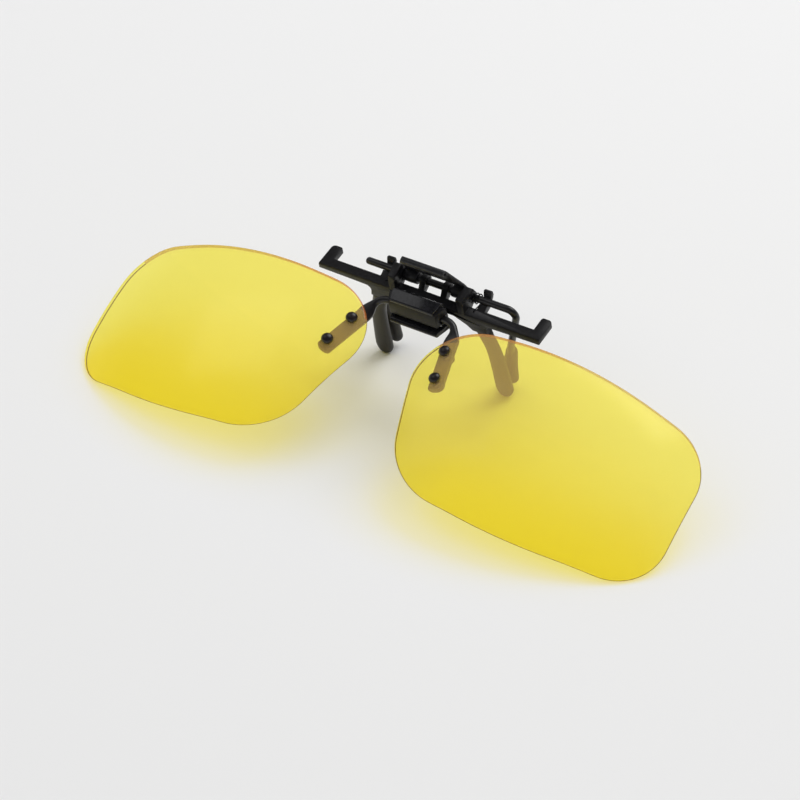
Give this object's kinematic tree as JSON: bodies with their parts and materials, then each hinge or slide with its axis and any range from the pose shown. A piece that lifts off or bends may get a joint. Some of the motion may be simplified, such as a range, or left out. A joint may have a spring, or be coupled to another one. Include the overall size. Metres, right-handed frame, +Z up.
{
  "type": "clip-on flip-up glasses",
  "caption": "Clip-on driving glasses with flip-up yellow lenses on a wire bridge, a sprung pinch clip with soft feet, and a wing bar with hooks.",
  "frame": {"origin": "centre of the bounding box's underside, on the table that the glasses lie on", "axes": "+X along the glasses to the wearer's left, +Y from the lenses back to the wearer's face, +Z up off the table"},
  "size_m": [0.1326, 0.0486, 0.0312],
  "materials": {
    "black_plastic": "satin black moulding",
    "black_metal": "gloss black coating",
    "black_rubber": "matt silicone",
    "spring_steel": "blackened spring steel",
    "yellow_lens": "clear, tinted yellow"
  },
  "bodies": {
    "clip_base": {"clip_body": "black_plastic", "left_front_sleeve": "black_rubber", "right_front_sleeve": "black_rubber", "left_closing_spring": "spring_steel", "right_closing_spring": "spring_steel"},
    "rear_jaw": {"thumb_plate": "black_metal", "axle_wire": "black_metal", "left_leg_wire": "black_metal", "left_rear_pad": "black_rubber", "right_rear_pad": "black_rubber"},
    "flip_frame": {"hinge_block": "black_plastic", "block_cover": "black_metal", "lower_plate": "black_metal", "plate_rivets": "black_metal", "detent_spring": "spring_steel", "flip_pin": "spring_steel", "bridge_wire": "black_metal", "left_lens": "yellow_lens", "right_lens": "yellow_lens", "left_lens_screws": "black_metal", "right_lens_screws": "black_metal", "left_washers": "black_rubber", "right_washers": "black_rubber", "left_cap_nuts": "black_metal", "right_cap_nuts": "black_metal"}
  },
  "joints": [
    {"name": "jaw_hinge", "type": "hinge", "parent": "clip_base", "child": "rear_jaw", "pos_m": [0, 0.01734, 0.02352], "axis": [1, 0, 0], "range_deg": [0, 20], "stiffness_Nm_per_rad": 0.05, "springref_deg": -20.05, "deforming": ["left_closing_spring", "right_closing_spring"]},
    {"name": "flip_hinge", "type": "hinge", "parent": "clip_base", "child": "flip_frame", "pos_m": [0, 0.0123, 0.0199], "axis": [1, 0, 0], "range_deg": [-14, 76]}
  ]
}
